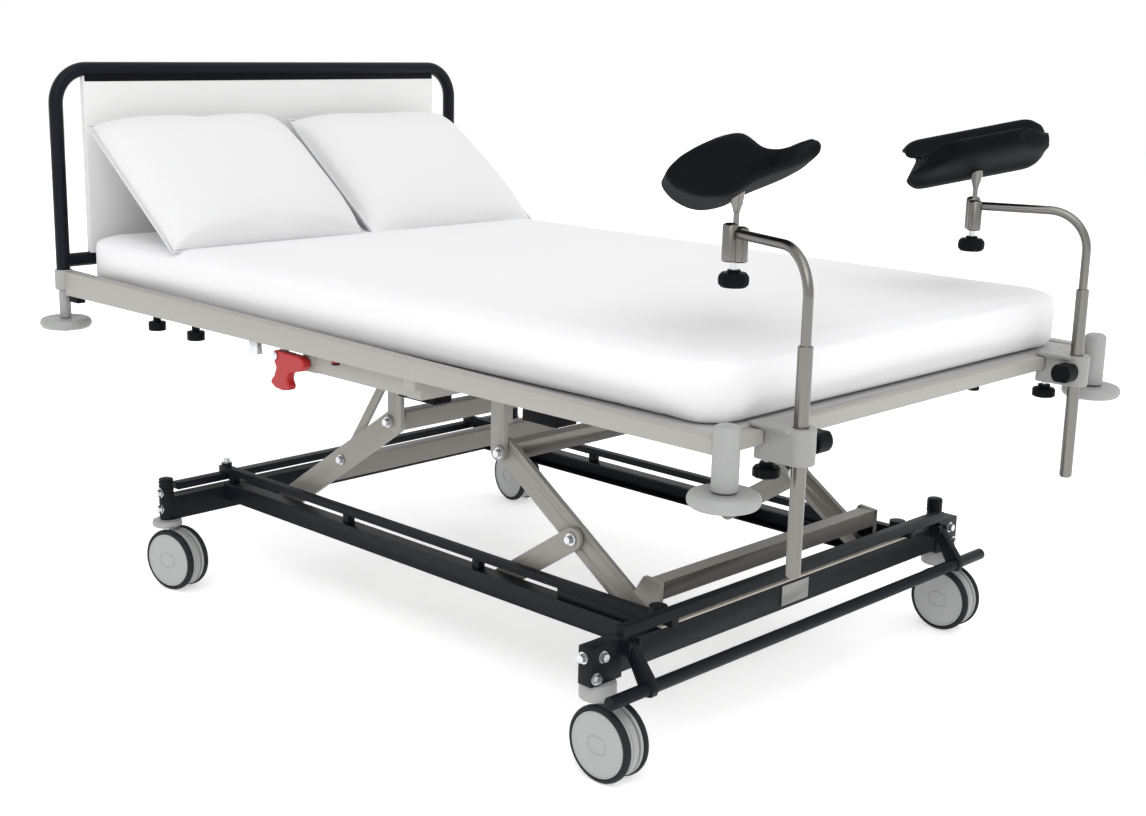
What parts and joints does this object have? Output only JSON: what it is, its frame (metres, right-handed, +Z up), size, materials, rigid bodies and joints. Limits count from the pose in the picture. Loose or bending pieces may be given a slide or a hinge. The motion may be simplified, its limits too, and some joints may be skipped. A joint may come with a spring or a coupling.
{
  "type": "medical exam table",
  "caption": "Wide wheeled examination bed with a pantograph lift, tilting back section, headboard, pillows, corner bumpers, foot brake bar and clamp-on leg supports.",
  "frame": {"origin": "on the floor, under the centre of the outline", "axes": "+Z up, +Y toward the headboard, +X to the right seen from the foot end"},
  "size_m": [1.405, 2.2455, 1.253],
  "materials": {
    "frame_grey": "light warm grey powder coat",
    "arm_grey": "warm grey powder coat",
    "base_black": "satin black powder coat",
    "bumper_grey": "light grey moulding",
    "cover_grey": "pale grey cast clamp",
    "steel": "brushed stainless steel",
    "zinc": "bright zinc plating",
    "tyre": "black tread, pale hub caps",
    "black_plastic": "black moulding",
    "pad_black": "smooth black moulded foam",
    "deck_grey": "grey sheet",
    "cover_white": "white mattress cover",
    "linen_white": "white pillow cover",
    "panel_white": "off-white panel",
    "tube_black": "satin black tube",
    "red": "red moulding",
    "plate_grey": "bare plate"
  },
  "bodies": {
    "base": {"base_frame": "base_black", "caster_posts": "base_black", "rail_guides": "base_black", "base_fasteners": "zinc", "blank_plate": "plate_grey"},
    "brake_pedal": {"brake_pedal": "base_black"},
    "brake_link": {"brake_link": "base_black", "link_bolts": "zinc"},
    "lift_links": {"lift_links": "arm_grey", "link_pins": "zinc"},
    "foot_arms": {"foot_arms": "arm_grey", "foot_sliders": "black_plastic"},
    "head_arms": {"head_arms": "arm_grey", "head_sliders": "black_plastic"},
    "bed": {"bed_frame": "frame_grey", "lift_brackets": "frame_grey", "control_box": "black_plastic", "bumper_posts": "bumper_grey", "seat_deck": "deck_grey", "mattress_seat": "cover_white", "rail_stops": "black_plastic", "headboard_frame": "tube_black", "headboard_panel": "panel_white", "handle_pivot": "zinc"},
    "back": {"back_deck": "deck_grey", "mattress_back": "cover_white", "pillow_left": "linen_white", "pillow_right": "linen_white"},
    "release_handle": {"release_handle": "red"},
    "caster_fl": {"caster_fl_fork": "bumper_grey"},
    "wheels_fl": {"caster_fl_wheels": "tyre"},
    "caster_fr": {"caster_fr_fork": "bumper_grey"},
    "wheels_fr": {"caster_fr_wheels": "tyre"},
    "caster_hl": {"caster_hl_fork": "bumper_grey"},
    "wheels_hl": {"caster_hl_wheels": "tyre"},
    "caster_hr": {"caster_hr_fork": "bumper_grey"},
    "wheels_hr": {"caster_hr_wheels": "tyre"},
    "bumper_fl": {"bumper_fl": "bumper_grey"},
    "bumper_fr": {"bumper_fr": "bumper_grey"},
    "bumper_hl": {"bumper_hl": "bumper_grey"},
    "bumper_hr": {"bumper_hr": "bumper_grey"},
    "leg_l_clamp": {"leg_l_clamp": "cover_grey"},
    "leg_l_clamp_knob": {"leg_l_clamp_knob": "black_plastic"},
    "leg_l_lock": {"leg_l_lock": "black_plastic"},
    "leg_l_tube": {"leg_l_tube": "steel"},
    "leg_l_arm": {"leg_l_arm": "steel"},
    "leg_l_pad": {"leg_l_pad": "pad_black"},
    "leg_l_pad_knob": {"leg_l_pad_knob": "black_plastic"},
    "leg_r_clamp": {"leg_r_clamp": "cover_grey"},
    "leg_r_clamp_knob": {"leg_r_clamp_knob": "black_plastic"},
    "leg_r_lock": {"leg_r_lock": "black_plastic"},
    "leg_r_tube": {"leg_r_tube": "steel"},
    "leg_r_arm": {"leg_r_arm": "steel"},
    "leg_r_pad": {"leg_r_pad": "pad_black"},
    "leg_r_pad_knob": {"leg_r_pad_knob": "black_plastic"}
  },
  "joints": [
    {"name": "caster_fl_swivel", "type": "hinge", "parent": "base", "child": "caster_fl", "pos_m": [-0.586, -0.73175, 0.15], "axis": [0, 0, 1], "continuous": true},
    {"name": "caster_fl_roll", "type": "hinge", "parent": "caster_fl", "child": "wheels_fl", "pos_m": [-0.586, -0.76275, 0.075], "axis": [1, 0, 0], "continuous": true},
    {"name": "caster_fr_swivel", "type": "hinge", "parent": "base", "child": "caster_fr", "pos_m": [0.586, -0.73175, 0.15], "axis": [0, 0, 1], "continuous": true},
    {"name": "caster_fr_roll", "type": "hinge", "parent": "caster_fr", "child": "wheels_fr", "pos_m": [0.586, -0.76275, 0.075], "axis": [1, 0, 0], "continuous": true},
    {"name": "caster_hl_swivel", "type": "hinge", "parent": "base", "child": "caster_hl", "pos_m": [-0.586, 0.71325, 0.15], "axis": [0, 0, 1], "continuous": true},
    {"name": "caster_hl_roll", "type": "hinge", "parent": "caster_hl", "child": "wheels_hl", "pos_m": [-0.57956, 0.68293, 0.075], "axis": [0.9781, 0.2079, 0], "continuous": true},
    {"name": "caster_hr_swivel", "type": "hinge", "parent": "base", "child": "caster_hr", "pos_m": [0.586, 0.71325, 0.15], "axis": [0, 0, 1], "continuous": true},
    {"name": "caster_hr_roll", "type": "hinge", "parent": "caster_hr", "child": "wheels_hr", "pos_m": [0.58115, 0.68263, 0.075], "axis": [0.9877, -0.1564, 0], "continuous": true},
    {"name": "brake_pedal_hinge", "type": "hinge", "parent": "base", "child": "brake_pedal", "pos_m": [0, -0.76375, 0.248], "axis": [1, 0, 0], "range_deg": [-12, 12]},
    {"name": "brake_link_slide", "type": "slide", "parent": "base", "child": "brake_link", "axis": [0, 1, 0], "range_m": [-0.0065, 0.0065]},
    {"name": "lift", "type": "hinge", "parent": "base", "child": "lift_links", "pos_m": [0, -0.25975, 0.214], "axis": [-1, 0, 0], "range_deg": [0, 34]},
    {"name": "foot_arm_pivot", "type": "hinge", "parent": "lift_links", "child": "foot_arms", "pos_m": [0, -0.46875, 0.354], "axis": [-1, 0, 0], "range_deg": [-68.01, 0]},
    {"name": "bed_pivot", "type": "hinge", "parent": "foot_arms", "child": "bed", "pos_m": [0, -0.25975, 0.494], "axis": [-1, 0, 0], "range_deg": [0, 34.01]},
    {"name": "head_arm_pivot", "type": "hinge", "parent": "bed", "child": "head_arms", "pos_m": [0, 0.10025, 0.494], "axis": [-1, 0, 0], "range_deg": [0, 34.01]},
    {"name": "backrest", "type": "hinge", "parent": "bed", "child": "back", "pos_m": [0, 0.26025, 0.712], "axis": [1, 0, 0], "range_deg": [0, 44]},
    {"name": "release_handle_hinge", "type": "hinge", "parent": "bed", "child": "release_handle", "pos_m": [-0.6355, 0.17225, 0.666], "axis": [1, 0, 0], "range_deg": [0, 15]},
    {"name": "bumper_fl_spin", "type": "hinge", "parent": "bed", "child": "bumper_fl", "pos_m": [-0.64, -1.04975, 0.614], "axis": [0, 0, 1], "continuous": true},
    {"name": "bumper_fr_spin", "type": "hinge", "parent": "bed", "child": "bumper_fr", "pos_m": [0.64, -1.04975, 0.614], "axis": [0, 0, 1], "continuous": true},
    {"name": "bumper_hl_spin", "type": "hinge", "parent": "bed", "child": "bumper_hl", "pos_m": [-0.64, 1.06025, 0.614], "axis": [0, 0, 1], "continuous": true},
    {"name": "bumper_hr_spin", "type": "hinge", "parent": "bed", "child": "bumper_hr", "pos_m": [0.64, 1.06025, 0.614], "axis": [0, 0, 1], "continuous": true},
    {"name": "leg_l_clamp_slide", "type": "slide", "parent": "bed", "child": "leg_l_clamp", "axis": [1, 0, 0], "range_m": [-0.045, 0.15]},
    {"name": "leg_l_clamp_screw", "type": "hinge", "parent": "leg_l_clamp", "child": "leg_l_clamp_knob", "pos_m": [-0.5, -1.02875, 0.64], "axis": [0, 0, 1], "continuous": true},
    {"name": "leg_l_lock_turn", "type": "hinge", "parent": "leg_l_clamp", "child": "leg_l_lock", "pos_m": [-0.46, -1.09575, 0.69], "axis": [1, 0, 0], "continuous": true},
    {"name": "leg_l_height", "type": "slide", "parent": "leg_l_clamp", "child": "leg_l_tube", "axis": [0, 0, 1], "range_m": [-0.05, 0.1]},
    {"name": "leg_l_swivel", "type": "hinge", "parent": "leg_l_tube", "child": "leg_l_arm", "pos_m": [-0.5, -1.09575, 0.9], "axis": [0, 0, 1], "range_deg": [-60, 90]},
    {"name": "leg_l_pad_turn", "type": "hinge", "parent": "leg_l_arm", "child": "leg_l_pad", "pos_m": [-0.419, -0.87575, 1.05], "axis": [0, 0, 1], "range_deg": [-60, 60]},
    {"name": "leg_l_pad_screw", "type": "hinge", "parent": "leg_l_arm", "child": "leg_l_pad_knob", "pos_m": [-0.419, -0.87575, 0.936], "axis": [0, 0, 1], "continuous": true},
    {"name": "leg_r_clamp_slide", "type": "slide", "parent": "bed", "child": "leg_r_clamp", "axis": [-1, 0, 0], "range_m": [-0.045, 0.15]},
    {"name": "leg_r_clamp_screw", "type": "hinge", "parent": "leg_r_clamp", "child": "leg_r_clamp_knob", "pos_m": [0.465, -1.02875, 0.64], "axis": [0, 0, 1], "continuous": true},
    {"name": "leg_r_lock_turn", "type": "hinge", "parent": "leg_r_clamp", "child": "leg_r_lock", "pos_m": [0.425, -1.09575, 0.69], "axis": [-1, 0, 0], "continuous": true},
    {"name": "leg_r_height", "type": "slide", "parent": "leg_r_clamp", "child": "leg_r_tube", "axis": [0, 0, 1], "range_m": [-0.05, 0.1]},
    {"name": "leg_r_swivel", "type": "hinge", "parent": "leg_r_tube", "child": "leg_r_arm", "pos_m": [0.465, -1.09575, 0.9], "axis": [0, 0, -1], "range_deg": [-60, 90]},
    {"name": "leg_r_pad_turn", "type": "hinge", "parent": "leg_r_arm", "child": "leg_r_pad", "pos_m": [0.384, -0.87575, 1.05], "axis": [0, 0, -1], "range_deg": [-60, 60]},
    {"name": "leg_r_pad_screw", "type": "hinge", "parent": "leg_r_arm", "child": "leg_r_pad_knob", "pos_m": [0.384, -0.87575, 0.936], "axis": [0, 0, 1], "continuous": true}
  ],
  "couplings": [
    {"joint": "brake_link_slide", "follows": "brake_pedal_hinge", "m_per_rad": 0.03},
    {"joint": "foot_arm_pivot", "follows": "lift", "ratio": -2},
    {"joint": "bed_pivot", "follows": "lift", "ratio": 1},
    {"joint": "head_arm_pivot", "follows": "lift", "ratio": 1}
  ]
}
